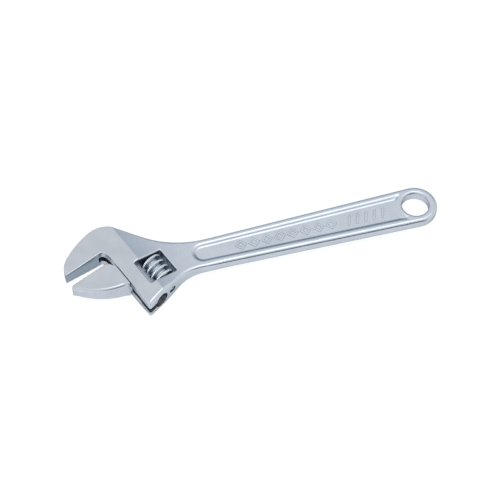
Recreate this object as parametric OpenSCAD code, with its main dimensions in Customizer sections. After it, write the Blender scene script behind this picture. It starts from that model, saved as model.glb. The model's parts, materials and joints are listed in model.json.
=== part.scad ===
// Adjustable wrench, nominal 250 mm, lying flat.
// The origin is the centre of the hanging hole at mid thickness. +X runs from
// the head to the hanging hole and +Z is up, out of the broad face.

/* [Handle] */
// Radius of the hanging hole
hole_r = 8.9; // [8:0.1:9.5]
// Radius of the rounded handle end around the hanging hole
end_r = 14.5; // [14:0.1:15.5]
// Half width of the handle where it meets the neck
neck_half_w = 10.95; // [9.5:0.05:12.5]
// Thickness of the handle's edge ribs
rib_t = 8; // [6:0.1:9]
// Thickness of the thin web between the ribs
web_t = 5; // [3:0.1:6.5]
// Width of each edge rib
rib_w = 5.5; // [4.5:0.1:6]

/* [Head] */
// Angle between the jaw faces and the handle
jaw_angle = 20.65; // [18:0.05:22.5]
// Distance along the handle from the hanging hole to the throat corner
throat_x = 209.5; // [205:0.1:214]
// Sideways offset of the throat corner from the handle's centre line
throat_y = 14.9; // [14.3:0.1:15.5]
// Length of the fixed jaw's face
face_len = 27.4; // [25:0.1:29]
// Half thickness of the head at the throat
throat_half_t = 7; // [6.5:0.1:7.5]
// Half thickness lost per millimetre from the throat towards the tips
head_taper = 0.096; // [0.08:0.002:0.11]
// Distance behind the throat of the ridge where the head is thickest
ridge_v = 16.1; // [15:0.1:17.5]

/* [Jaw] */
// Opening between the jaw faces as drawn
opening = 8.6; // [2:0.1:25]
// Radius of the bore that the movable jaw's bar slides in
bore_r = 5.25; // [5:0.05:5.5]
// Distance of that bore's axis behind the throat
bore_v = 13.6; // [13.4:0.1:14]
// Width of the slot that the movable jaw's neck slides in
slot_w = 4.8; // [4:0.1:5.4]
// Length of the movable jaw's toothed bar
bar_len = 36; // [32:0.5:37]

/* [Knurl] */
// Outer radius of the adjusting knurl
knurl_r = 8; // [7.8:0.05:8.1]
// Root radius of the knurl's thread
knurl_root_r = 5.2; // [5:0.05:5.4]
// Distance of the knurl's axis behind the throat
knurl_v = 23.8; // [23.7:0.05:24]
// Advance of the jaw for one turn of the knurl
pitch = 4.8; // [4.6:0.1:5]
// Near end of the knurl window, measured from the fixed jaw's face
window_u0 = 19.2; // [18.5:0.1:20]
// Length of the knurl window
window_len = 19.2; // [19:0.1:20]

/* [Hidden] */
$fn = 64;
fine_fn = 96;           // for the handle's end and the ring around the hole

steel = [0.74, 0.76, 0.79];
bright_steel = [0.84, 0.85, 0.87];
dark_steel = [0.45, 0.46, 0.48];

tall = 40;              // taller than anything in the model
over = 1;               // how far a cut runs past the surface it starts from
run_out = 10;           // how far a long cut runs past the head's end
slide_clear = 0.1;      // running clearance of the bar and the neck
face_clear = 0.3;       // gap between the movable jaw and the head's edge
slot_end = [-0.4, 0.3]; // centre of the slot's round end, let into the throat
slot_end_r = 2.2;
bore_start = 1;         // depth of the bore's blind end behind the fixed jaw's face
shank_v = 2.4;          // the head's slotted edge, behind the throat
shank_u = 52.1;         // how far that edge reaches from the fixed jaw's face
end_slope = 35.65;      // direction of the head's lower end face
neck_slope = 33.05;     // direction of the straight flank behind the fixed jaw
window_v0 = 12.8;       // sides of the knurl window, behind the throat
window_v1 = 32.7;
pin_r = 2;              // the pin's shaft
screw_r = 2.5;          // the hole for the pin's screwed end
screw_clear = 0.02;
pin_clear = 0.05;
nose_depth = 6;         // depth of the hole for the pin's nose
spring_r = 2.75;        // mean radius of the spring
wire_r = 0.3;
spring_hole_r = 3.3;    // counterbore in the knurl for the spring
spring_depth = 5;
end_gap = 0.15;         // end clearance of the knurl in its window
spring_gap = 1.1;       // window space taken up by the spring's free coils
thread_clear = 0.25;    // gap on each flank of the thread
rack_clear = 0.2;       // gap between crests and roots
flank = 0.357;          // thread half width lost per millimetre of height
crest_half = 0.55;      // half width of the thread's crest
root_half = crest_half + (knurl_r - knurl_root_r) * flank;
thread_u = window_u0 + 4.3;  // where a thread crest faces the rack
knurl_u0 = window_u0 + spring_gap;
knurl_u1 = window_u0 + window_len - end_gap;

// Points of an arc, from angle a0 to a1 about the centre c
function arc(c, r, a0, a1, steps = 8) =
    [for (i = [0:steps]) c + r * [cos(a0 + (a1 - a0) * i / steps),
                                  sin(a0 + (a1 - a0) * i / steps)]];

// A point of the head plan, given as [v, u], in the wrench's own plan.
// v runs along the jaw faces to their tips and u is the way the jaw opens.
jaw_dir = [-cos(jaw_angle), -sin(jaw_angle)];
open_dir = [sin(jaw_angle), -cos(jaw_angle)];
throat = [-throat_x, throat_y];
function plan(v, u) = throat + v * jaw_dir + u * open_dir;

// Puts its children, drawn with X along the jaw faces and Y the way the jaw
// opens, into place on the wrench.
module head_frame() {
    translate([throat[0], throat[1], 0])
        rotate([0, 0, 180 + jaw_angle])
            children();
}

// Turns a solid drawn along +Z to run along the head frame's Y axis, from y0
module along_y(x, y0) {
    translate([x, y0, 0])
        rotate([-90, 0, 0])
            children();
}

// Points of a curve from a to c that is drawn towards the corner b
function bend(a, b, c, steps) =
    [for (i = [0:steps])
        let (t = i / steps)
        (1 - t) * (1 - t) * a + 2 * t * (1 - t) * b + t * t * c];

// ---- Outline of the forging ----
// Upper flank: concave from the handle, straight, then round over the back
// of the fixed jaw in three arcs and down to its tip.
flank_start = [-142.5, neck_half_w];
flank_r = 72;
crown_r = 17.3;
crown_c = [-205.9, 17.67];
crown_turn = 30;
back_r = 65;
back_turn = 20;
tip_r = 15.2;
past = 3;               // degrees, starts an arc past the point that ends the last one
crown_end = crown_c + crown_r * [-sin(crown_turn), cos(crown_turn)];
back_c = crown_end - back_r * [-sin(crown_turn), cos(crown_turn)];
back_end_turn = crown_turn + back_turn;
back_end = back_c + back_r * [-sin(back_end_turn), cos(back_end_turn)];
tip_c = back_end - tip_r * [-sin(back_end_turn), cos(back_end_turn)];

// Throat: a small fillet from the face to the head's slotted edge
fillet_v = 0.2;
fillet_reach = 6;
fillet_corner = [0.5 - shank_v, 0.8];

// Lower flank: the head's end face, then concave into the handle
end_corner = plan(-shank_v, shank_u);
corner_reach = 1.5;
lower_y = -11;
lower_r = 30;
lower_knee_x = end_corner[0] + (lower_y - end_corner[1]) / tan(end_slope);
lower_start_x = lower_knee_x + lower_r * tan(end_slope / 2);

function upper_flank() = concat(
    arc(flank_start + [0, flank_r], flank_r, -90, -90 - neck_slope),
    arc(crown_c, crown_r, 90 - neck_slope, 90 + crown_turn),
    arc(back_c, back_r, 90 + crown_turn + past, 90 + back_end_turn, 5),
    arc(tip_c, tip_r, 90 + back_end_turn + 2 * past, 180, 5));

function jaw_and_throat() = concat(
    [plan(face_len, 0)],
    bend(plan(fillet_v, 0), plan(fillet_corner[0], fillet_corner[1]),
         plan(-shank_v, fillet_reach), 4));

function lower_flank() = concat(
    bend(end_corner - corner_reach * open_dir, end_corner,
         end_corner + corner_reach * [cos(end_slope), sin(end_slope)], 6),
    arc([lower_start_x, lower_y - lower_r], lower_r, 90 + end_slope, 90));

module forging_outline() {
    polygon(concat([[0, end_r]], upper_flank(), jaw_and_throat(), lower_flank(),
                   [[0, -end_r]]));
    circle(r = end_r, $fn = fine_fn);
}

// ---- Thickness of the forging ----
// Half thickness at v: straight taper in front of the ridge, a hollow curve
// behind it that runs out level with the handle's ribs.
ridge_half_t = throat_half_t + head_taper * ridge_v;
runout_v = 55;
hollow_k = (ridge_half_t - rib_t / 2) / pow(runout_v - ridge_v, 2);
function half_t(v) =
    v >= -ridge_v ? throat_half_t - head_taper * v :
    v <= -runout_v ? rib_t / 2 :
    rib_t / 2 + hollow_k * pow(runout_v + v, 2);

hollow_steps = 9;
front_v = 40;           // past the jaw tips
far_v = -260;           // past the handle's end
function upper_profile() = concat(
    [[front_v, half_t(front_v)], [-ridge_v, ridge_half_t]],
    [for (i = [1:hollow_steps])
        let (v = -ridge_v - (runout_v - ridge_v) * i / hollow_steps)
        [v, half_t(v)]],
    [[far_v, rib_t / 2]]);
function mirrored(points) =
    [for (i = [len(points) - 1:-1:0]) [points[i][0], -points[i][1]]];

// The room between the head's two faces, drawn in the head frame
module thickness_profile() {
    reach_u = 130;
    along_y(0, -reach_u)
        linear_extrude(2 * reach_u)
            polygon(concat(upper_profile(), mirrored(upper_profile())));
}

// ---- Recessed panels of the handle ----
panel_head_x = -145.2;
panel_end_x = -8;
panel_head_half_w = 5.9;
panel_end_half_w = end_r - rib_w;
ring_r = hole_r + 4.1;  // raised ring around the hanging hole

module panel_outline() {
    difference() {
        union() {
            polygon([[panel_head_x, -panel_head_half_w], [panel_end_x, -panel_end_half_w],
                     [panel_end_x, panel_end_half_w], [panel_head_x, panel_head_half_w]]);
            translate([panel_head_x, 0])
                circle(r = panel_head_half_w);
        }
        circle(r = ring_r, $fn = fine_fn);
    }
}

module handle_panels() {
    for (side = [0, 1])
        mirror([0, 0, side])
            translate([0, 0, web_t / 2])
                linear_extrude(tall)
                    panel_outline();
}

// ---- Cuts in the head ----
// Slot for the movable jaw's neck, with a round end let into the throat
module slot_plan() {
    translate([-bore_v, slot_end[1] - slot_end_r])
        square([bore_v + slot_end[0], shank_u + run_out]);
    translate(slot_end)
        circle(r = slot_end_r);
}

module head_cuts() {
    head_frame() {
        // bore for the movable jaw's bar, blind at the fixed jaw
        along_y(-bore_v, -bore_start)
            cylinder(r = bore_r, h = shank_u + run_out);
        translate([0, 0, -slot_w / 2])
            linear_extrude(slot_w)
                slot_plan();
        // window for the knurl
        translate([-window_v1, window_u0, -tall / 2])
            cube([window_v1 - window_v0, window_len, tall]);
        // blind hole for the pin's nose, and the screwed hole for its other end
        along_y(-knurl_v, window_u0 - nose_depth)
            cylinder(r = pin_r + pin_clear, h = nose_depth + over);
        along_y(-knurl_v, window_u0 + window_len - over)
            cylinder(r = screw_r, h = shank_u - window_u0 - window_len + run_out);
    }
}

module wrench_body() {
    color(steel)
    difference() {
        intersection() {
            translate([0, 0, -tall / 2])
                linear_extrude(tall)
                    forging_outline();
            head_frame()
                thickness_profile();
        }
        handle_panels();
        translate([0, 0, -tall / 2])
            cylinder(r = hole_r, h = tall);
        head_cuts();
    }
}

// ---- Movable jaw ----
jaw_back_r = 46;
jaw_root_v = shank_v - face_clear;
jaw_root_u = opening + 21.5;            // where the jaw's back meets the head's edge
jaw_tip = [face_len + 0.9, opening + 2.5];
jaw_face_end = face_len - 0.4;
neck_sink = 0.5;                        // how far the neck reaches into the jaw
neck_end = opening + 22.6;              // the neck runs a little past the jaw's back
neck_slant = [0.8, 1.6];                // its end slants back clear of the slot's mouth
// the corner by the throat is cut away so that it clears the throat's fillet
jaw_relief = [[-jaw_root_v, opening + 5.5], [0, opening + 1.6], [3, opening]];

// Plan of the jaw in the head frame: flat face, blunt tip, one long back arc
function jaw_back_centre() =
    let (root = [-jaw_root_v, jaw_root_u],
         chord = root - jaw_tip,
         inward = [-chord[1], chord[0]] / norm(chord))
    (jaw_tip + root) / 2 + inward * sqrt(jaw_back_r * jaw_back_r - chord * chord / 4);

module jaw_outline() {
    c = jaw_back_centre();
    a0 = atan2(jaw_tip[1] - c[1], jaw_tip[0] - c[0]);
    a1 = atan2(jaw_root_u - c[1], -jaw_root_v - c[0]);
    polygon(concat(jaw_relief, [[jaw_face_end, opening]], arc(c, jaw_back_r, a0, a1, 12)));
}

module rack_grooves() {
    lead_angle = atan(pitch / (2 * PI * (knurl_r + knurl_root_r) / 2));
    first = -floor((thread_u - opening) / pitch) - 1;
    last = ceil((opening + bar_len - thread_u) / pitch) + 1;
    depth = 6;
    tip = crest_half - rack_clear * flank + thread_clear;
    mouth = tip + depth * flank;
    translate([-knurl_v + knurl_r + rack_clear, thread_u, 0])
        rotate([lead_angle, 0, 0])
            translate([0, 0, -tall / 2])
                linear_extrude(tall)
                    for (i = [first:last])
                        translate([0, i * pitch * cos(lead_angle)])
                            polygon([[0, -tip], [0, tip], [-depth, mouth], [-depth, -mouth]]);
}

// Plan of the neck that runs in the slot
module neck_outline() {
    mouth_v = neck_sink - jaw_root_v;
    polygon([[-bore_v, opening + neck_sink], [mouth_v, opening + neck_sink],
             [mouth_v, neck_end - neck_slant[1]], [mouth_v - neck_slant[0], neck_end],
             [-bore_v, neck_end]]);
}

module movable_jaw() {
    rack_tip_v = knurl_v - knurl_root_r - rack_clear;
    bar_r = bore_r - slide_clear;
    color(steel)
    head_frame() {
        intersection() {
            translate([0, 0, -tall / 2])
                linear_extrude(tall)
                    jaw_outline();
            thickness_profile();
        }
        translate([0, 0, slide_clear - slot_w / 2])
            linear_extrude(slot_w - 2 * slide_clear)
                neck_outline();
        // round bar with the rack cut into its side
        difference() {
            along_y(-bore_v, opening)
                cylinder(r = bar_r, h = bar_len);
            translate([-rack_tip_v - bar_r, opening - over, -tall / 2])
                cube([bar_r, bar_len + 2 * over, tall]);
            rack_grooves();
        }
    }
}

// ---- Knurl ----
ring_steps = 20;
thread_over = 0.6;      // turns that the thread is drawn past each end, then cut off
thread_turns = (knurl_u1 - knurl_u0) / pitch + 2 * thread_over;
thread_rings = ceil(thread_turns * ring_steps);
thread_start = floor((thread_u - knurl_u0) / pitch + thread_over);
root_sink = 0.4;        // how far the thread reaches into the core

// One cross-section of the thread after i steps along the helix. The thread
// is right-handed about the way the jaw opens.
function thread_ring(i) =
    let (turn = i / ring_steps,
         along = thread_u + (turn - thread_start) * pitch,
         a = -360 * turn)
    [for (p = [[knurl_root_r - root_sink, -root_half - root_sink * flank],
               [knurl_r, -crest_half], [knurl_r, crest_half],
               [knurl_root_r - root_sink, root_half + root_sink * flank]])
        [p[0] * cos(a), along + p[1], p[0] * sin(a)]];

module thread() {
    rings = [for (i = [0:thread_rings]) thread_ring(i)];
    points = [for (r = rings) for (p = r) p];
    last = 4 * thread_rings;
    faces = concat(
        [[3, 2, 1, 0]],
        [for (i = [0:thread_rings - 1]) for (k = [0:3]) for (half = [0, 1])
            let (a = 4 * i + k,
                 b = 4 * i + (k + 1) % 4)
            half == 0 ? [a, b, b + 4] : [a, b + 4, a + 4]],
        [[last, last + 1, last + 2, last + 3]]);
    polyhedron(points = points, faces = faces, convexity = 8);
}

module knurl() {
    length = knurl_u1 - knurl_u0;
    color(bright_steel)
    head_frame()
        difference() {
            union() {
                along_y(-knurl_v, knurl_u0)
                    cylinder(r = knurl_root_r, h = length);
                intersection() {
                    translate([-knurl_v, 0, 0])
                        thread();
                    along_y(-knurl_v, knurl_u0)
                        cylinder(r = knurl_r + over, h = length);
                }
            }
            along_y(-knurl_v, knurl_u0 - over)
                cylinder(r = pin_r + pin_clear, h = length + 2 * over);
            along_y(-knurl_v, knurl_u0 - over)
                cylinder(r = spring_hole_r, h = spring_depth + over);
        }
}

// ---- Pin and spring ----
pin_head_u = 45.8;
pin_nose_u = window_u0 - 5.6;
screw_u0 = window_u0 + window_len + 0.2;
driver_w = 0.9;         // slot for a screwdriver
driver_depth = 1.1;

module knurl_pin() {
    color(dark_steel)
    head_frame()
        difference() {
            union() {
                along_y(-knurl_v, pin_nose_u)
                    cylinder(r = pin_r, h = screw_u0 - pin_nose_u);
                along_y(-knurl_v, screw_u0)
                    cylinder(r = screw_r - screw_clear, h = pin_head_u - screw_u0);
            }
            // screwdriver slot
            translate([-knurl_v - screw_r, pin_head_u - driver_depth, -driver_w / 2])
                cube([2 * screw_r, driver_depth + over, driver_w]);
        }
}

spring_sides = 6;
spring_steps = 14;
spring_turns = 5;
spring_clear = 0.05;
spring_u0 = window_u0 + wire_r + spring_clear;
spring_u1 = knurl_u0 + spring_depth - wire_r - spring_clear;
spring_rings = spring_turns * spring_steps;
end_turn = 0.2;         // share of the coil in each closed end turn
end_rise = 0.09;        // share of its length there

// The wire's centre after the fraction t of the coil
function spring_u(t) =
    spring_u0 + (spring_u1 - spring_u0) * lookup(t, [
        [0, 0], [end_turn, end_rise], [1 - end_turn, 1 - end_rise], [1, 1]]);

module knurl_spring() {
    points = [for (i = [0:spring_rings]) for (k = [0:spring_sides - 1])
        let (a = 360 * i / spring_steps,
             b = 360 * k / spring_sides,
             r = spring_r + wire_r * cos(b))
        [r * cos(a) - knurl_v, spring_u(i / spring_rings) + wire_r * sin(b), r * sin(a)]];
    last = spring_rings * spring_sides;
    faces = concat(
        [[for (k = [0:spring_sides - 1]) k]],
        [for (i = [0:spring_rings - 1]) for (k = [0:spring_sides - 1]) for (half = [0, 1])
            let (a = i * spring_sides + k,
                 b = i * spring_sides + (k + 1) % spring_sides)
            half == 0 ? [a, b + spring_sides, b] : [a, a + spring_sides, b + spring_sides]],
        [[for (k = [spring_sides - 1:-1:0]) last + k]]);
    color(dark_steel)
        head_frame()
            polyhedron(points = points, faces = faces, convexity = 10);
}

wrench_body();
movable_jaw();
knurl();
knurl_pin();
knurl_spring();
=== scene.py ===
import json
import math

import bpy
import numpy as np
from mathutils import Matrix, Vector


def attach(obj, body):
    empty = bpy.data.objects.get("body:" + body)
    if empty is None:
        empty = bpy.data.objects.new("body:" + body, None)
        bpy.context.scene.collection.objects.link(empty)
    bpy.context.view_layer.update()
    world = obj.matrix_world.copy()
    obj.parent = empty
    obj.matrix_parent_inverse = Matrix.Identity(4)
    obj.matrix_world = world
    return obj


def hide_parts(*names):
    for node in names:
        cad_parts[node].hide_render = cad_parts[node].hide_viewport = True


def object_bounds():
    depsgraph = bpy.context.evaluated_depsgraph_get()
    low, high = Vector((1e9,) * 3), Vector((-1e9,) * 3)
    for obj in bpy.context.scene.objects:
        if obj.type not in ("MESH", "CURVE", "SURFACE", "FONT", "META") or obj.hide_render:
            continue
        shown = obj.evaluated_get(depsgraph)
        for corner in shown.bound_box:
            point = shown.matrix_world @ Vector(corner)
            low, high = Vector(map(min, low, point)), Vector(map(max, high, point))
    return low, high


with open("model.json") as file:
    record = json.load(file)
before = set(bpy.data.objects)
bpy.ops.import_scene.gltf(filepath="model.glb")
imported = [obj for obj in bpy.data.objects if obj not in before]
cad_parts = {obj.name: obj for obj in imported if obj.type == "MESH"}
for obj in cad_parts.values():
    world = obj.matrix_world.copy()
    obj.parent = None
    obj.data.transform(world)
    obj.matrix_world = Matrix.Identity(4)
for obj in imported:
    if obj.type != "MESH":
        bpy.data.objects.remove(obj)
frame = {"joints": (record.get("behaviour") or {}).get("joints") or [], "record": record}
cad_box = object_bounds()
record = frame["record"]

# Everything below is worked out in millimetres and scaled to metres when a mesh is made.
MM = 0.001

# ---------------------------------------------------------------- frame facts
mounts = {m["name"]: m for m in record["mounts"]}
joints = {j["name"]: j for j in frame["joints"]}

HOLE_R = mounts["hang_hole"]["dims"]["r_mm"]
RIB_HALF_T = mounts["hang_hole"]["dims"]["length_mm"] / 2
OPEN_DIR = np.array(joints["jaw_slide"]["axis"][:2])
OPEN_DIR /= np.linalg.norm(OPEN_DIR)
JAW_DIR = np.array([OPEN_DIR[1], -OPEN_DIR[0]])
FACE_MIDDLE = 14.0         # the face mounts stand this far from the throat
THROAT = np.array(mounts["fixed_jaw_face"]["pos_m"][:2]) / MM - FACE_MIDDLE * JAW_DIR
MOVED = np.array(mounts["movable_jaw_face"]["pos_m"][:2]) / MM - THROAT
OPENING = MOVED @ OPEN_DIR
PITCH = abs(record["behaviour"]["couplings"][0]["ratio"]) * 2 * math.pi / MM

# ---------------------------------------------------------------- sizes, mm
END_R = 14.5               # rounded handle end
RING_R = HOLE_R + 4.1      # raised ring around the hanging hole
NECK_HALF_W = 10.95        # handle where it meets the neck
NECK_X = -142.5
WEB_HALF_T = 2.5           # web between the ribs
RIB_W = 5.5                # edge ribs
FACE_LEN = 27.4            # fixed jaw's face
THROAT_HALF_T = 7.0
HEAD_TAPER = 0.096
RIDGE_V = 16.1             # thickest line, behind the throat
RUNOUT_V = 55.0            # where the neck's hollow runs out in the handle
BORE_R = 5.25
BORE_V = 13.6
SLOT_HALF = 2.4
SLOT_END = (-0.4, 0.3)     # centre of the slot's round end, let into the throat
SLOT_END_R = 2.2
BAR_LEN = 36.0
SLIDE_GAP = 0.1            # round the bar in its bore and the neck in its slot
PIN_HOLE_R = 2.05          # in the head and through the knurl
PIN_HOLE_DEPTH = 6         # blind, beyond the window
SCREW_HOLE_R = 2.5
KNURL_R = 8.0
KNURL_ROOT_R = 5.2
KNURL_V = 23.8
THREAD_U = 23.5            # where a crest faces the rack
CREST_HALF = 0.55          # half the crest's width
FLANK = 0.357              # slope of the thread's flanks
RACK_GAP = 0.2             # between the thread and the rack
WINDOW_U = (19.2, 38.4)
WINDOW_V = (-32.7, -12.8)
SHANK_V = 2.4
SHANK_U = 52.1
END_SLOPE = math.radians(35.65)
NECK_SLOPE = math.radians(33.05)


def plan(v, u):
    """A point of the head plan: v along the jaw faces to the tips, u the way the jaw opens."""
    return THROAT + v * JAW_DIR + u * OPEN_DIR


def head_coords(x, y):
    """The head coordinates (v, u) of plan points x, y."""
    dx = x - THROAT[0]
    dy = y - THROAT[1]
    return dx * JAW_DIR[0] + dy * JAW_DIR[1], dx * OPEN_DIR[0] + dy * OPEN_DIR[1]


# ---------------------------------------------------------------- field tools
def round_max(a, b, r):
    """Intersection of two distance fields, with its convex edge rounded to radius r."""
    return np.minimum(np.maximum(a, b), -r) + np.hypot(np.maximum(a + r, 0), np.maximum(b + r, 0))


def round_min(a, b, r):
    """Union of two distance fields, with its hollow corner filled to radius r."""
    return -round_max(-a, -b, r)


def smooth(x, lo, hi):
    """0 below lo, 1 above hi, and a smooth step between."""
    t = np.clip((x - lo) / (hi - lo), 0, 1)
    return t * t * (3 - 2 * t)


def blend(a, b, t):
    """a where t is 0, b where t is 1."""
    return a + (b - a) * t


def angle_of(p):
    return math.atan2(p[1], p[0])


class Outline:
    """A closed plan outline of straight lines and arcs, run with its inside on the left."""

    def __init__(self, start):
        self.at = np.array(start, float)
        self.parts = []

    def line(self, to):
        to = np.array(to, float)
        if np.linalg.norm(to - self.at) > 1e-6:
            self.parts.append(("line", self.at, to))
            self.at = to
        return self

    def arc(self, centre, to_angle, turn):
        """An arc about centre to the angle to_angle. turn is 1 anticlockwise, -1 clockwise."""
        centre = np.array(centre, float)
        r = np.linalg.norm(self.at - centre)
        a0 = angle_of(self.at - centre)
        sweep = (to_angle - a0) * turn % (2 * math.pi)
        end = centre + r * np.array([math.cos(to_angle), math.sin(to_angle)])
        self.parts.append(("arc", self.at, end, centre, r, a0, sweep, turn))
        self.at = end
        return self

    def corner(self, corner, to, r):
        """A straight run to a corner that turns towards the point to, rounded to radius r."""
        corner, to = np.array(corner, float), np.array(to, float)
        d0 = (corner - self.at) / np.linalg.norm(corner - self.at)
        d1 = (to - corner) / np.linalg.norm(to - corner)
        turn = 1 if d0[0] * d1[1] - d0[1] * d1[0] > 0 else -1
        cut = r * math.tan(math.acos(np.clip(d0 @ d1, -1, 1)) / 2)
        side = turn * np.array([-d0[1], d0[0]])
        self.line(corner - cut * d0)
        centre = self.at + r * side
        end = corner + cut * d1
        return self.arc(centre, angle_of(end - centre), turn)

    def end_normals(self, part):
        """Outward normals at a part's two ends."""
        if part[0] == "line":
            d = (part[2] - part[1]) / np.linalg.norm(part[2] - part[1])
            n = np.array([d[1], -d[0]])
            return n, n
        _, start, end, centre, r, _, _, turn = part
        return turn * (start - centre) / r, turn * (end - centre) / r

    def distance(self, x, y):
        """Signed distance of the points x, y from the outline, negative inside."""
        best = np.full(np.shape(x), 1e9)

        def take(d, ok=True):
            nonlocal best
            best = np.where(ok & (np.abs(d) < np.abs(best)), d, best)

        for i, part in enumerate(self.parts):
            before = self.end_normals(self.parts[i - 1])[1]
            n = before + self.end_normals(part)[0]
            dx, dy = x - part[1][0], y - part[1][1]
            take(np.hypot(dx, dy) * np.where(dx * n[0] + dy * n[1] > 0, 1, -1))
            if part[0] == "line":
                length = np.linalg.norm(part[2] - part[1])
                d = (part[2] - part[1]) / length
                along = dx * d[0] + dy * d[1]
                take(dx * d[1] - dy * d[0], (along > 0) & (along < length))
            else:
                _, _, _, c, r, a0, sweep, turn = part
                gx, gy = x - c[0], y - c[1]
                swept = (np.arctan2(gy, gx) - a0) * turn % (2 * math.pi)
                take((np.hypot(gx, gy) - r) * turn, swept < sweep)
        return best


# ---------------------------------------------------------------- mesher
def gradient(field, p, h=0.01):
    """Unit gradient of the field at points p, from four nearby samples."""
    g = np.zeros_like(p)
    for k in ((1, -1, -1), (-1, -1, 1), (-1, 1, -1), (1, 1, 1)):
        k = np.array(k, float)
        g += k * field(p + h * k)[:, None]
    return g / np.maximum(np.linalg.norm(g, axis=1, keepdims=True), 1e-9)


def dual_contour(nodes, field):
    """Meshes the surface field = 0 on a bent grid of nodes, (ni, nj, nk, 3), with one
    vertex in each crossed cell, set where the surface's planes meet. Gives vertices and
    quads."""
    shape = nodes.shape[:3]
    flat = nodes.reshape(-1, 3)
    value = np.concatenate([field(c) for c in np.array_split(flat, 24)]).reshape(shape)
    inside = value < 0
    points, normals, cells, flips = [], [], [], []
    for axis in range(3):
        lo = [slice(None)] * 3
        hi = [slice(None)] * 3
        lo[axis], hi[axis] = slice(None, -1), slice(1, None)
        for other in {0, 1, 2} - {axis}:
            lo[other] = hi[other] = slice(1, -1)
        lo, hi = tuple(lo), tuple(hi)
        crossed = inside[lo] != inside[hi]
        at = np.argwhere(crossed)
        p0, p1 = nodes[lo][crossed], nodes[hi][crossed]
        f0, f1 = value[lo][crossed], value[hi][crossed]
        t0, t1 = np.zeros(len(at)), np.ones(len(at))
        for _ in range(3):
            t = t0 + (t1 - t0) * np.clip(f0 / (f0 - f1), 0.03, 0.97)
            f = field(p0 + t[:, None] * (p1 - p0))
            same = (f < 0) == (f0 < 0)
            t0, f0 = np.where(same, t, t0), np.where(same, f, f0)
            t1, f1 = np.where(same, t1, t), np.where(same, f1, f)
        t = t0 + (t1 - t0) * f0 / np.where(f0 == f1, 1, f0 - f1)
        points.append(p0 + t[:, None] * (p1 - p0))
        normals.append(gradient(field, points[-1]))
        base = at.copy()
        for other in {0, 1, 2} - {axis}:
            base[:, other] += 1
        b, c = (axis + 1) % 3, (axis + 2) % 3
        ring = []
        for db, dc in ((-1, -1), (0, -1), (0, 0), (-1, 0)):
            cell = base.copy()
            cell[:, b] += db
            cell[:, c] += dc
            ring.append(np.ravel_multi_index(cell.T, shape))
        cells.append(np.stack(ring, 1))
        flips.append(~inside[lo][crossed])
    points, normals = np.concatenate(points), np.concatenate(normals)
    cells, flips = np.concatenate(cells), np.concatenate(flips)
    used, quads = np.unique(cells, return_inverse=True)
    quads = quads.reshape(cells.shape)
    n = len(used)

    def gather(weights):
        return np.bincount(quads.ravel(), np.repeat(weights, 4), n)

    count = gather(np.ones(len(points)))
    middle = np.stack([gather(points[:, k]) for k in range(3)], 1) / count[:, None]
    rows = np.repeat(normals, 4, 0)
    offset = np.einsum("ij,ij->i", rows, np.repeat(points, 4, 0) - middle[quads.ravel()])
    ata = np.zeros((n, 3, 3))
    atb = np.zeros((n, 3))
    for i in range(3):
        atb[:, i] = np.bincount(quads.ravel(), rows[:, i] * offset, n)
        for j in range(3):
            ata[:, i, j] = np.bincount(quads.ravel(), rows[:, i] * rows[:, j], n)
    ata += np.eye(3) * (0.03 * count)[:, None, None]
    step = np.linalg.solve(ata, atb[:, :, None])[:, :, 0]
    i, j, k = np.unravel_index(used, shape)
    size = np.linalg.norm(nodes[i + 1, j + 1, k + 1] - nodes[i, j, k], axis=1)
    length = np.linalg.norm(step, axis=1)
    step *= np.minimum(1, 0.55 * size / np.maximum(length, 1e-9))[:, None]
    quads = np.where(flips[:, None], quads[:, ::-1], quads)
    return middle + step, quads


def corner_normals(field, verts, quads):
    """The surface's own normal at each quad's corners, taken a little way into the quad."""
    corner = verts[quads]
    inner = 0.65 * corner + 0.35 * corner.mean(1, keepdims=True)
    return gradient(field, inner.reshape(-1, 3))


def make_mesh(name, verts, faces, materials, normals=None, face_material=None):
    """A Blender object from vertices in millimetres."""
    mesh = bpy.data.meshes.new(name)
    mesh.from_pydata((verts * MM).tolist(), [], [list(map(int, f)) for f in faces])
    for m in materials:
        mesh.materials.append(m)
    if face_material is not None:
        mesh.polygons.foreach_set("material_index", face_material.astype(np.int32))
    mesh.polygons.foreach_set("use_smooth", np.ones(len(mesh.polygons), bool))
    mesh.update()
    if normals is not None:
        mesh.normals_split_custom_set(normals.tolist())
    obj = bpy.data.objects.new(name, mesh)
    bpy.context.scene.collection.objects.link(obj)
    return obj


def spaced(*runs):
    """Grid positions: runs of (from, to, step), each starting where the last one ends."""
    out = []
    for lo, hi, step in runs:
        out.append(np.linspace(lo, hi, max(2, round((hi - lo) / step)), endpoint=False))
    return np.append(np.concatenate(out), runs[-1][1])


# ---------------------------------------------------------------- wrench body
def bent(a, b, c, steps):
    """Points after a of a curve from a to c that is drawn towards the corner b."""
    t = np.linspace(0, 1, steps + 1)[1:, None]
    return (1 - t) ** 2 * a + 2 * t * (1 - t) * b + t * t * c


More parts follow.
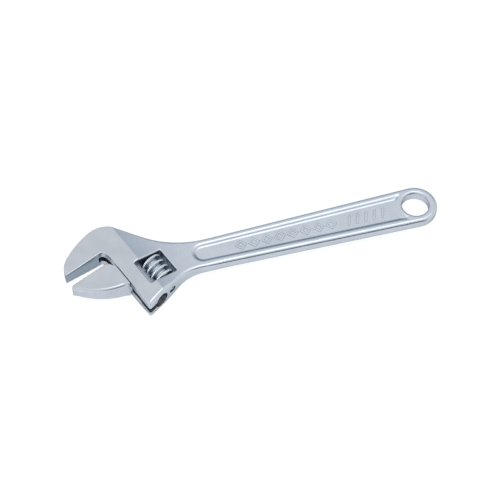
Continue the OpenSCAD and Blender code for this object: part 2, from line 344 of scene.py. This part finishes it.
def forging_outline():
    flank_r, crown_r, back_r, tip_r, lower_r, corner_r = 72.0, 17.3, 65.0, 15.2, 30.0, 1.4
    crown_turn = math.radians(30)
    back_turn = math.radians(20)
    quarter = math.pi / 2

    def offset(centre, r, turned):
        return centre + r * np.array([-math.sin(turned), math.cos(turned)])

    flank = np.array([NECK_X, NECK_HALF_W])
    crown_c = np.array([-205.9, 17.67])
    back_c = offset(offset(crown_c, crown_r, crown_turn), -back_r, crown_turn)
    turned = crown_turn + back_turn
    tip_c = offset(offset(back_c, back_r, turned), -tip_r, turned)
    end_corner = plan(-SHANK_V, SHANK_U)
    lower_y = -11.0
    knee_x = end_corner[0] + (lower_y - end_corner[1]) / math.tan(END_SLOPE)
    lower_c = np.array([knee_x + lower_r * math.tan(END_SLOPE / 2), lower_y - lower_r])

    o = Outline((0, END_R))
    o.line(flank).arc(flank + [0, flank_r], -quarter - NECK_SLOPE, -1)
    o.line(offset(crown_c, crown_r, -NECK_SLOPE)).arc(crown_c, quarter + crown_turn, 1)
    o.arc(back_c, quarter + turned, 1).arc(tip_c, math.pi, 1)
    o.line(plan(FACE_LEN, 0)).line(plan(0.2, 0))
    # the throat bends from the jaw's face to the side that the movable jaw runs along
    for point in bent(plan(0.2, 0), plan(0.5 - SHANK_V, 0.8), plan(-SHANK_V, 6), 7):
        o.line(point)
    lower_start = offset(lower_c, lower_r, END_SLOPE)
    o.corner(end_corner, lower_start, corner_r)
    o.line(lower_start).arc(lower_c, quarter, -1)
    return o.line((0, -END_R)).arc((0, 0), quarter, 1)


def panel_outline():
    """The recessed panel: a half round at the head, and a hollow end around the ring."""
    head_x, head_w = -145.2, 5.9
    end_w = END_R - RIB_W
    end_x = -math.sqrt(RING_R ** 2 - end_w ** 2)
    o = Outline((end_x, end_w))
    o.line((head_x, head_w)).arc((head_x, 0), -math.pi / 2, 1)
    o.line((end_x, -end_w))
    return o.arc((0, 0), math.atan2(end_w, end_x), -1)


forging = forging_outline()
panel = panel_outline()


def head_envelope(v, z):
    """Distance above the head's ground faces and the hollow neck behind the ridge."""
    slope_k = (THROAT_HALF_T + HEAD_TAPER * RIDGE_V - RIB_HALF_T) / (RUNOUT_V - RIDGE_V) ** 2
    front = (abs(z) - THROAT_HALF_T + HEAD_TAPER * v) / math.hypot(1, HEAD_TAPER)
    run = np.maximum(v + RUNOUT_V, 0)
    back = (abs(z) - RIB_HALF_T - slope_k * run ** 2) / np.hypot(1, 2 * slope_k * run)
    return round_max(front, back, 0.25)


def edge_radius(v, u):
    """Radius of the rounded edge between the broad faces and the sides."""
    crown_r, handle_r, lower_r, neck_r, lip_r, face_r = 0.8, 2.5, 2.4, 1.3, 0.25, 0.5
    r = blend(crown_r, handle_r, smooth(-v, 14, 40))
    # past u 50 lie the head's lower end and most of the handle; the neck's edge is tighter
    lower = smooth(u, 38, 50)
    neck = smooth(-v, RIDGE_V, RIDGE_V + 9) * (1 - smooth(-v, 45, 65))
    r = blend(r, blend(lower_r, neck_r, neck), lower)
    # crisp where the movable jaw runs along the head, and around the fixed jaw's face
    lip = (1 - smooth(abs(v + SHANK_V), 1.5, 4)) * smooth(u, 6, 12)
    r = blend(r, lip_r, lip * (1 - lower))
    face = (1 - smooth(abs(u), 0.6, 3)) * smooth(v, -1, 1)
    return blend(r, face_r, face)


def head_cuts(v, u, z):
    """The bore, slot, knurl window and pin holes, negative inside them."""
    bore_start = -1
    bore = round_max(np.hypot(v + BORE_V, z) - BORE_R, bore_start - u, 0.6)
    # the slot lets the jaw's neck reach the bore, and has a round end at the throat
    end_v, end_u = SLOT_END
    run = np.hypot(np.maximum(v - end_v, 0), np.maximum(end_u - u, 0)) - SLOT_END_R
    slot = round_max(abs(z) - SLOT_HALF, np.maximum(run, -BORE_V - v), 0.5)
    wu, wv = sum(WINDOW_U) / 2, sum(WINDOW_V) / 2
    window = round_max(abs(u - wu) - WINDOW_U[1] + wu, abs(v - wv) - WINDOW_V[1] + wv, 0.8)
    across = np.hypot(v + KNURL_V, z)
    bottom = WINDOW_U[0] - PIN_HOLE_DEPTH
    nose = np.maximum(across - PIN_HOLE_R, np.maximum(bottom - u, u - wu))
    screw = np.maximum(across - SCREW_HOLE_R, wu - u)
    return np.minimum.reduce([bore, slot, window, nose, screw])


def body_field(p):
    x, y, z = p[:, 0], p[:, 1], p[:, 2]
    v, u = head_coords(x, y)
    # the sides bulge a little, more along the handle than on the head
    bulge = blend(0.008, 0.016, smooth(x, -160, -130))
    side = forging.distance(x, y) + bulge * z * z
    body = round_max(side, head_envelope(v, z), edge_radius(v, u))
    # recessed panels, with drafted walls and a softer rim at the ring
    draft = 0.95
    middle = (RIB_HALF_T + WEB_HALF_T) / 2
    walls = (panel.distance(x, y) - draft * (abs(z) - middle)) / math.hypot(1, draft)
    foot_r, hole_edge_r = 0.7, 1.9
    recess = round_max(walls, WEB_HALF_T - abs(z), foot_r)
    from_hole = np.hypot(x, y)
    rim_r = blend(1.3, 0.8, smooth(from_hole, RING_R, RING_R + 5))
    body = round_max(body, -recess, rim_r)
    # hanging hole
    body = round_max(body, HOLE_R - from_hole, hole_edge_r)
    # edges of the cuts: 0.6 at the throat, 1 around the window, 0.3 at the lower end
    cut_r = 0.6 + 0.4 * smooth(u, 10, 16) - 0.7 * smooth(u, 40, 43)
    return round_max(body, -head_cuts(v, u, z), cut_r)


def body_grid(cell, handle_cell):
    """Grid that lies along the head's own directions in the head, turns through the neck,
    and lies along the handle in the handle."""
    turn = angle_of(-JAW_DIR)
    bend_r, bend_x = 76.0, -138.0
    bend_len = bend_r * turn
    head_len, ring_from, end = 65.0, -bend_x - 17, -bend_x + END_R + 1.1
    low, high, half_t = -20.6, 54.6, 9.03
    s = spaced((-bend_len - head_len, -bend_len, cell), (-bend_len, 0, cell * 1.1),
               (0, ring_from, handle_cell), (ring_from, end, cell))
    a = turn * np.clip(-s / bend_len, 0, 1)
    base = np.stack([bend_x - bend_r * np.sin(a) + np.maximum(s, 0),
                     bend_r * (np.cos(a) - 1)], 1)
    beyond = np.maximum(-s - bend_len, 0)
    along = np.stack([np.cos(a), np.sin(a)], 1)
    base -= beyond[:, None] * along
    across = np.stack([-along[:, 1], along[:, 0]], 1)
    j = spaced((low, high, cell))
    k = spaced((-half_t, half_t, cell))
    xy = base[:, None] + j[None, :, None] * across[:, None]
    nodes = np.empty((len(s), len(j), len(k), 3))
    nodes[..., :2] = xy[:, :, None]
    nodes[..., 2] = k
    return nodes


# ---------------------------------------------------------------- raised pattern
RELIEF = 0.55              # height above the web
LOZENGE_X = np.arange(8) * 8.8 - 120
BAR_X = np.arange(5) * 5.8 - 46


def relief_field(p):
    """A plain row of raised lozenges and slanted bars along the web."""
    half_x, half_y, slope, line_w = 4.0, 3.9, 2.8, 1.4
    bar_half, bar_r, slant = 2.9, 0.9, 0.35
    x, y, z = p[:, 0], p[:, 1], p[:, 2]
    best = np.full(len(x), 1e9)
    for cx in LOZENGE_X:
        outer = (abs(x - cx) / half_x + abs(y) / half_y - 1) * slope
        best = np.minimum(best, np.maximum(outer, -outer - line_w))
    for cx in BAR_X:
        along = np.maximum(abs(y) - bar_half, 0)
        best = np.minimum(best, np.hypot(x - cx - slant * y, along) - bar_r)
    return round_max(best, abs(z - WEB_HALF_T) - RELIEF, 0.5)


def relief_grid(cell):
    x = spaced((LOZENGE_X[0] - 4.8, BAR_X[-1] + 3.3, cell))
    y = spaced((-4.7, 4.7, cell))
    z = spaced((WEB_HALF_T - 0.85, WEB_HALF_T + 0.85, 0.25))
    return np.stack(np.meshgrid(x, y, z, indexing="ij"), -1)


# ---------------------------------------------------------------- movable jaw
JAW_ROOT_V = SHANK_V - 0.14    # the root stands clear of the head
JAW_ROOT_LEN = 21.5
NECK_LEN = 22.6                # the neck in the slot runs a little past the jaw's back


def jaw_outline():
    """Plan of the movable jaw in head coordinates (v, u)."""
    back_r, tip_r = 46.0, 1.5
    tip = np.array([FACE_LEN + 0.9, OPENING + 2.5])
    root = np.array([-JAW_ROOT_V, OPENING + JAW_ROOT_LEN])
    chord = root - tip
    inward = np.array([-chord[1], chord[0]]) / np.linalg.norm(chord)
    centre = (tip + root) / 2 + inward * math.sqrt(back_r ** 2 - chord @ chord / 4)
    # the tip's arc touches the face and the back's arc
    tip_u = OPENING + tip_r
    tip_v = centre[0] + math.sqrt((back_r - tip_r) ** 2 - (tip_u - centre[1]) ** 2)
    # the face's inner end is cut back to clear the throat
    o = Outline((-JAW_ROOT_V, OPENING + 5.5))
    o.line((0, OPENING + 1.6)).line((3, OPENING)).line((tip_v, OPENING))
    o.arc((tip_v, tip_u), angle_of(np.array([tip_v, tip_u]) - centre), 1)
    o.arc(centre, angle_of(root - centre), 1)
    return o.line((-JAW_ROOT_V, OPENING + 5.5))


jaw_plan = jaw_outline()


def rack_grooves(v, u, z):
    """The rack's grooves, slanted to the knurl's lead, negative in a groove."""
    side_gap = 0.18
    groove_half = CREST_HALF + side_gap
    lead = math.atan(PITCH / (math.pi * (KNURL_R + KNURL_ROOT_R)))
    along = (u - THREAD_U + z * math.tan(lead)) % PITCH
    along = np.minimum(along, PITCH - along) * math.cos(lead)
    height = -KNURL_V + KNURL_R + RACK_GAP - v
    groove = (along - groove_half - FLANK * height) / math.hypot(1, FLANK)
    return round_max(groove, -height, 0.2)


def jaw_field(p):
    v, u, z = p[:, 0], p[:, 1], p[:, 2]
    side = jaw_plan.distance(v, u)
    # crisp around the face and along the root, soft along the back
    edge_r = blend(0.25, 2.0, smooth(u - OPENING, 1, 5) * smooth(v, -2, 2))
    blade = round_max(side, head_envelope(v, z), edge_r)
    # the neck reaches a little way into the blade, and its far end slants
    reach, slant_at, slant_k = 0.5, 1.6, 0.5
    neck = round_max(abs(z) - SLOT_HALF + SLIDE_GAP, OPENING + 0.6 - u, 0.8)
    neck = np.maximum(neck, u - OPENING - NECK_LEN)
    past_root = v + JAW_ROOT_V - reach
    neck = np.maximum(neck, np.maximum(-BORE_V - v, past_root))
    slant = past_root + (u - OPENING - NECK_LEN + slant_at) * slant_k
    neck = round_max(neck, slant / math.hypot(1, slant_k), 0.3)
    bar = np.hypot(v + BORE_V, z) - BORE_R + SLIDE_GAP
    bar = round_max(bar, np.maximum(OPENING - u, u - OPENING - BAR_LEN), 0.6)
    bar = round_max(bar, -KNURL_V + KNURL_ROOT_R + RACK_GAP - v, 0.15)
    bar = round_max(bar, -rack_grooves(v, u, z), 0.15)
    return np.minimum(np.minimum(blade, neck), bar)


def jaw_grid(cell):
    v = spaced((-19.3, 29.1, cell))
    u = spaced((OPENING - 0.63, OPENING + BAR_LEN + 0.7, cell))
    z = spaced((-7.63, 7.63, cell))
    return np.stack(np.meshgrid(v, u, z, indexing="ij"), -1)


# ---------------------------------------------------------------- knurl
KNURL_U = (WINDOW_U[0] + 1.1, WINDOW_U[1] - 0.15)
FLUTES = 40
FLUTE_DEPTH = 0.32
FLUTE_TWIST = 2.2          # radians of phase per mm along the knurl
WELL_R = 3.3               # the spring's well in the knurl's end
WELL_DEPTH = 5


def knurl_field(p):
    """p is (x, y, s): x and y across the knurl's axis, with x towards the rack, and s
    along it, the way the jaw opens."""
    x, y, s = p[:, 0], p[:, 1], p[:, 2]
    r = np.hypot(x, y)
    a = np.arctan2(y, x)
    # y is +Z here and s runs the way the jaw opens, so a falls as the thread advances
    along = (s - THREAD_U + PITCH * a / (2 * math.pi)) % PITCH
    along = np.minimum(along, PITCH - along)
    thread = (along - CREST_HALF - FLANK * (KNURL_R - r)) / math.hypot(1, FLANK)
    flutes = FLUTE_DEPTH / 2 * (1 - np.cos(FLUTES * a + FLUTE_TWIST * (s - KNURL_U[0])))
    thread = round_max(thread, r - KNURL_R + flutes, 0.22)
    solid = round_min(thread, r - KNURL_ROOT_R, 0.35)
    solid = round_max(solid, np.maximum(KNURL_U[0] - s, s - KNURL_U[1]), 0.25)
    well = np.maximum(r - WELL_R, s - KNURL_U[0] - WELL_DEPTH)
    hole = np.minimum(r - PIN_HOLE_R, well)
    return round_max(solid, -hole, 0.15)


def knurl_grid(cell):
    across = spaced((-KNURL_R - 0.4, KNURL_R + 0.4, cell))
    s = spaced((KNURL_U[0] - 0.37, KNURL_U[1] + 0.41, cell))
    return np.stack(np.meshgrid(across, across, s, indexing="ij"), -1)


# ---------------------------------------------------------------- pin
PIN_R = 2.0
SCREW_R = 2.48
SCREW_PITCH = 0.8
TIP_R = 1.7                # the slotted end, which leaves a groove in the screw hole
TIP_LEN = 1.8
PIN_U = (WINDOW_U[0] - 5.6, WINDOW_U[1] + 0.2, 45.2)   # nose, start of the thread, tip
DRIVER_HALF, DRIVER_DEPTH = 0.45, 1.1


def pin_field(p):
    """The knurl's pin: a plain shaft, a screw thread, and a tip with a driver's slot.
    p is in the knurl's axes."""
    x, y, s = p[:, 0], p[:, 1], p[:, 2]
    r = np.hypot(x, y)
    nose_u, thread_u, tip_u = PIN_U
    shaft = round_max(r - PIN_R, np.maximum(nose_u - s, s - tip_u + 1), 0.4)
    turn = (s / SCREW_PITCH + np.arctan2(y, x) / (2 * math.pi)) % 1
    thread = r - SCREW_R + 0.8 * SCREW_PITCH * np.abs(turn - 0.5)
    screw = round_max(np.maximum(r - SCREW_R, thread * 0.6), thread_u - s, 0.1)
    screw = np.maximum(screw, s - tip_u + TIP_LEN)
    tip = round_max(r - TIP_R, tip_u - TIP_LEN - 0.5 - s, 0.1)
    end = round_max(np.minimum(screw, tip), s - tip_u, 0.3)
    slot = round_max(abs(y) - DRIVER_HALF, tip_u - DRIVER_DEPTH - s, 0.1)
    return round_max(np.minimum(shaft, end), -slot, 0.12)


def pin_grid(cell):
    across = spaced((-SCREW_R - 0.3, SCREW_R + 0.3, cell))
    fine_from = PIN_U[1] - 0.4
    s = spaced((PIN_U[0] - 0.3, fine_from, 2 * cell), (fine_from, PIN_U[2] + 0.35, cell))
    return np.stack(np.meshgrid(across, across, s, indexing="ij"), -1)


# ---------------------------------------------------------------- placing
AXES = {
    "head": np.array([[*JAW_DIR, 0], [*OPEN_DIR, 0], [0, 0, 1]]),
    "knurl": np.array([[*JAW_DIR, 0], [0, 0, 1], [*OPEN_DIR, 0]]),
}
ORIGINS = {
    "head": np.array([*THROAT, 0]),
    "knurl": np.array([*plan(-KNURL_V, 0), 0]),
}


def field_object(name, nodes, field, materials, pick=None, place=None):
    """Meshes a field into an object. pick gives each face's material from its middle.
    place names the axes that the field is drawn in, if they aren't the model's own."""
    verts, quads = dual_contour(nodes, field)
    normals = corner_normals(field, verts, quads)
    chosen = None if pick is None else pick(verts[quads].mean(1))
    if place:
        if np.linalg.det(AXES[place]) < 0:
            quads = quads[:, ::-1]
            normals = normals.reshape(-1, 4, 3)[:, ::-1].reshape(-1, 3)
        verts = verts @ AXES[place] + ORIGINS[place]
        normals = normals @ AXES[place]
    return make_mesh(name, verts, quads, materials, normals, chosen)


# ---------------------------------------------------------------- spring
def spring(name, material):
    mean_r, wire_r, turns, steps, sides = 2.75, 0.3, 5, 40, 12
    gap = 0.05
    u0 = WINDOW_U[0] + wire_r + gap
    u1 = KNURL_U[0] + WELL_DEPTH - wire_r - gap
    t = np.linspace(0, 1, turns * steps + 1)
    # the end turns lie closer than the middle ones
    eased = np.interp(t, (0, 0.2, 0.8, 1), (0, 0.09, 0.91, 1))
    a = 2 * math.pi * turns * t
    b = 2 * math.pi * np.arange(sides) / sides
    r = mean_r + wire_r * np.cos(b)[None, :]
    s = (u0 + (u1 - u0) * eased)[:, None] + wire_r * np.sin(b)[None, :]
    verts = np.stack([r * np.cos(a)[:, None], r * np.sin(a)[:, None], s], -1).reshape(-1, 3)
    faces = []
    for i in range(len(t) - 1):
        for k in range(sides):
            a0, a1 = i * sides + k, i * sides + (k + 1) % sides
            faces.append([a0, a1, a1 + sides, a0 + sides])
    last = (len(t) - 1) * sides
    faces.append([*range(sides)][::-1])
    faces.append([last + k for k in range(sides)])
    verts = verts @ AXES["knurl"] + ORIGINS["knurl"]
    return make_mesh(name, verts, faces, [material])


# ---------------------------------------------------------------- materials
EDGE_TINT = (0.40, 0.43, 0.47, 1)      # of reflections at a grazing angle
GRIND_TURN = math.radians(-69)         # turns the grinding lines with the head
MOTTLE = 0.04


def steel(name, colour, roughness, grain=0.0, brushed=0.0):
    """Plated or bare steel, slightly uneven in colour and shine, with fine pits from
    blasting (grain) or with grinding lines (brushed)."""
    mat = bpy.data.materials.new(name)
    mat.use_nodes = True
    nodes, links = mat.node_tree.nodes, mat.node_tree.links
    shader = nodes["Principled BSDF"]
    shader.inputs["Metallic"].default_value = 1.0
    shader.inputs["Specular Tint"].default_value = EDGE_TINT
    coords = nodes.new("ShaderNodeTexCoord")

    def noise(scale_mm, detail, stretch=(1, 1, 1)):
        mapping = nodes.new("ShaderNodeMapping")
        mapping.inputs["Scale"].default_value = stretch
        mapping.inputs["Rotation"].default_value = (0, 0, GRIND_TURN)
        tex = nodes.new("ShaderNodeTexNoise")
        tex.inputs["Scale"].default_value = 1 / (scale_mm * MM)
        tex.inputs["Detail"].default_value = detail
        links.new(coords.outputs["Object"], mapping.inputs["Vector"])
        links.new(mapping.outputs["Vector"], tex.inputs["Vector"])
        return tex.outputs["Fac"]

    def ranged(value, low, high):
        node = nodes.new("ShaderNodeMapRange")
        node.inputs["From Min"].default_value = 0.3
        node.inputs["From Max"].default_value = 0.7
        node.inputs["To Min"].default_value = low
        node.inputs["To Max"].default_value = high
        links.new(value, node.inputs["Value"])
        return node.outputs["Result"]

    mix = nodes.new("ShaderNodeMix")
    mix.data_type = "RGBA"
    mix.inputs["A"].default_value = (*[c * (1 - MOTTLE) for c in colour], 1)
    mix.inputs["B"].default_value = (*[c * (1 + MOTTLE) for c in colour], 1)
    links.new(ranged(noise(9, 3), 0, 1), mix.inputs["Factor"])
    links.new(mix.outputs["Result"], shader.inputs["Base Color"])
    shine = ranged(noise(2.5, 4), roughness * 0.88, roughness * 1.12)
    links.new(shine, shader.inputs["Roughness"])

    bump = nodes.new("ShaderNodeBump")
    bump.inputs["Strength"].default_value = brushed or grain
    bump.inputs["Distance"].default_value = 0.05 * MM
    height = noise(0.25, 2, (1, 0.03, 1)) if brushed else noise(0.3, 2)
    links.new(height, bump.inputs["Height"])
    links.new(bump.outputs["Normal"], shader.inputs["Normal"])
    return mat


satin_chrome = steel("satin_chrome", (0.535, 0.585, 0.65), 0.27, grain=0.19)
ground_chrome = steel("ground_chrome", (0.505, 0.54, 0.59), 0.21, brushed=0.05)
# the jaw faces: bare ground steel, painted darker as painted shade from the narrow gap between
# the jaws
face_steel_painted_shade = steel("face_steel_painted_shade", (0.30, 0.36, 0.43), 0.24, brushed=0.10)
# the jaw's neck and rack bar, inside the head: bare steel, painted darker as painted shade in the
# slot and bore
rack_steel_painted_shade = steel("rack_steel_painted_shade", (0.36, 0.41, 0.48), 0.30, brushed=0.10)
# the cut openings: machined steel, painted darker as painted shade inside the bore, slot, window
# and pin holes
machined = steel("machined_steel_painted_shade", (0.22, 0.26, 0.31), 0.42, brushed=0.25)
# the bore: brownish grey steel, painted darker as painted shade deep in the bore
bored = steel("bored_steel_painted_shade", (0.36, 0.34, 0.34), 0.38, brushed=0.25)
# painted highlight: the knurl's crests are a lighter copy of the steel, standing in for the light
# on them
bright_steel = steel("bright_steel", (0.72, 0.77, 0.82), 0.18, brushed=0.10)
# painted shade: the knurl's flanks and roots are a darker copy of the steel, standing in for the
# shade between the crests
root_painted_shade_steel = steel("root_painted_shade_steel", (0.50, 0.55, 0.61), 0.30, brushed=0.15)
# the pin's screw end: polished steel, painted lighter than it is as a painted glint
pin_steel = steel("pin_steel", (0.68, 0.72, 0.77), 0.20, brushed=0.15)
spring_steel = steel("spring_steel", (0.35, 0.35, 0.35), 0.35, grain=0.1)


# ---------------------------------------------------------------- pieces
# material slots of the two forgings; CUT is the body's machined openings, or the jaw's
# neck and bar
SATIN, GROUND, CUT, FACE, BORED = range(5)
SKIN = 0.3                 # a face this near to a surface counts as part of it


def body_pick(mid):
    x, y, z = mid.T
    v, u = head_coords(x, y)
    ground = (head_envelope(v, z) > -0.15) & (v > -RIDGE_V)
    # the fixed jaw's face takes the face steel with its painted shade
    face = (u > -0.25) & (v > 0.5)
    # the cut openings take steels painted darker as painted shade
    cut = (head_cuts(v, u, z) < 0.12) & (forging.distance(x, y) < -SKIN)
    bore = cut & (np.hypot(v + BORE_V, z) < BORE_R + SKIN)
    return np.select([bore, cut, face, ground], [BORED, CUT, FACE, GROUND], SATIN)


def jaw_pick(mid):
    v, u, z = mid.T
    ground = head_envelope(v, z) > -0.15
    face = (u < OPENING + 0.25) & (v > -JAW_ROOT_V)
    # the neck and bar inside the head take the rack steel with its painted shade
    inside = v < -JAW_ROOT_V - 0.05
    return np.select([inside, face, ground], [CUT, FACE, GROUND], SATIN)


def knurl_pick(mid):
    """0 the thread's crests, in a lighter steel that is a painted highlight; 1 its flanks, roots
    and ends, in a darker steel that is painted shade.
    """
    return (np.hypot(mid[:, 0], mid[:, 1]) < KNURL_R - 1.6).astype(int)


def add(piece, body, node=None):
    if node:
        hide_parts(node)
    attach(piece, body)


add(field_object("wrench_forging", body_grid(0.43, 1.25), body_field,
                 [satin_chrome, ground_chrome, machined, face_steel_painted_shade, bored], body_pick),
    "handle", "wrench_body")
add(field_object("sliding_jaw_forging", jaw_grid(0.3), jaw_field,
                 [satin_chrome, ground_chrome, rack_steel_painted_shade, face_steel_painted_shade], jaw_pick, "head"),
    "sliding_jaw", "movable_jaw")
# the knurl: painted highlight on its crests, painted shade on its flanks and roots
add(field_object("knurl_thread", knurl_grid(0.25), knurl_field,
                 [bright_steel, root_painted_shade_steel], knurl_pick, "knurl"),
    "knurl", "knurl")
add(field_object("knurl_pin_screw", pin_grid(0.16), pin_field, [pin_steel], place="knurl"),
    "handle", "knurl_pin")
add(spring("knurl_spring_coil", spring_steel), "handle", "knurl_spring")

relief = field_object("web_relief_top", relief_grid(0.35), relief_field, [satin_chrome])
under = relief.copy()
under.data = relief.data.copy()
under.name = "web_relief_under"
under.data.transform(Matrix.Rotation(math.pi, 4, "X"))
bpy.context.scene.collection.objects.link(under)
add(relief, "handle")
add(under, "handle")


# ---------------------------------------------------------------- stage
FLOOR_GAP = 0.05 * MM       # below the wrench's lowest point
FLOOR_HALF = 3.0            # metres


def make_floor():
    mesh = bpy.data.meshes.new("floor")
    z = cad_box[0][2] - FLOOR_GAP
    corners = [(-1, -1), (1, -1), (1, 1), (-1, 1)]
    verts = [(x * FLOOR_HALF, y * FLOOR_HALF, z) for x, y in corners]
    mesh.from_pydata(verts, [], [(0, 1, 2, 3)])
    obj = bpy.data.objects.new("floor", mesh)
    bpy.context.scene.collection.objects.link(obj)
    mat = bpy.data.materials.new("floor_paper")
    mat.use_nodes = True
    shader = mat.node_tree.nodes["Principled BSDF"]
    shader.inputs["Base Color"].default_value = (0.18, 0.18, 0.18, 1)
    shader.inputs["Emission Color"].default_value = (1, 1, 1, 1)
    shader.inputs["Emission Strength"].default_value = 0.88
    shader.inputs["Roughness"].default_value = 1.0
    shader.inputs["Specular IOR Level"].default_value = 0.0
    mesh.materials.append(mat)


def make_world():
    """A soft white studio: brightest overhead, dark low in front, dimmer low behind."""
    world = bpy.data.worlds.new("studio")
    bpy.context.scene.world = world
    world.use_nodes = True
    nodes, links = world.node_tree.nodes, world.node_tree.links
    coords = nodes.new("ShaderNodeTexCoord")

    def patch(towards, edge_deg, core_deg):
        """1 within core_deg of the direction towards, 0 past edge_deg from it."""
        axis = nodes.new("ShaderNodeVectorMath")
        axis.operation = "DOT_PRODUCT"
        axis.inputs[1].default_value = Vector(towards).normalized()
        step = nodes.new("ShaderNodeMapRange")
        step.interpolation_type = "SMOOTHSTEP"
        step.inputs["From Min"].default_value = math.cos(math.radians(edge_deg))
        step.inputs["From Max"].default_value = math.cos(math.radians(core_deg))
        links.new(coords.outputs["Generated"], axis.inputs[0])
        links.new(axis.outputs["Value"], step.inputs["Value"])
        return step.outputs["Result"]

    colour = None
    for towards, edge_deg, core_deg, shade in (
            ((0.20, -0.05, 1), 30, 9, (1.75, 1.75, 1.75)),
            ((0.17, -0.96, 0.21), 33, 13, (0.13, 0.16, 0.20)),
            ((0.51, 0.82, 0.26), 37, 16, (0.50, 0.56, 0.64))):
        mix = nodes.new("ShaderNodeMix")
        mix.data_type = "RGBA"
        mix.blend_type = "MULTIPLY"
        mix.inputs["A"].default_value = (1, 1, 1, 1)
        mix.inputs["B"].default_value = (*shade, 1)
        links.new(patch(towards, edge_deg, core_deg), mix.inputs["Factor"])
        if colour:
            links.new(colour, mix.inputs["A"])
        colour = mix.outputs["Result"]
    links.new(colour, nodes["Background"].inputs["Color"])


def softbox(name, at, target, size, watts):
    light = bpy.data.lights.new(name, "AREA")
    light.shape = "RECTANGLE"
    light.size, light.size_y = size
    light.energy = watts
    obj = bpy.data.objects.new(name, light)
    obj.location = at
    obj.rotation_euler = (Vector(target) - Vector(at)).to_track_quat("-Z", "Y").to_euler()
    bpy.context.scene.collection.objects.link(obj)


def make_camera():
    """Looks down at the handle's middle from in front, a little to the left."""
    target = Vector((-0.1149, -0.0038, 0))
    distance, elevation, azimuth, roll = 1.0974, 55.57, 16.93, 1.2
    e, a = math.radians(elevation), math.radians(azimuth)
    away = Vector((-math.sin(a) * math.cos(e), -math.cos(a) * math.cos(e), math.sin(e)))
    camera = bpy.data.cameras.new("camera")
    camera.lens = 121.4
    camera.sensor_width = 36
    obj = bpy.data.objects.new("camera", camera)
    turn = away.to_track_quat("Z", "Y").to_matrix() @ Matrix.Rotation(math.radians(roll), 3, "Z")
    obj.matrix_world = Matrix.Translation(target + distance * away) @ turn.to_4x4()
    bpy.context.scene.collection.objects.link(obj)
    bpy.context.scene.camera = obj


make_floor()
make_world()
softbox("key", at=(-0.1, -0.1, 1.6), target=(-0.11, 0, 0), size=(0.8, 0.8), watts=1)
make_camera()
bpy.context.scene.view_settings.view_transform = "Standard"
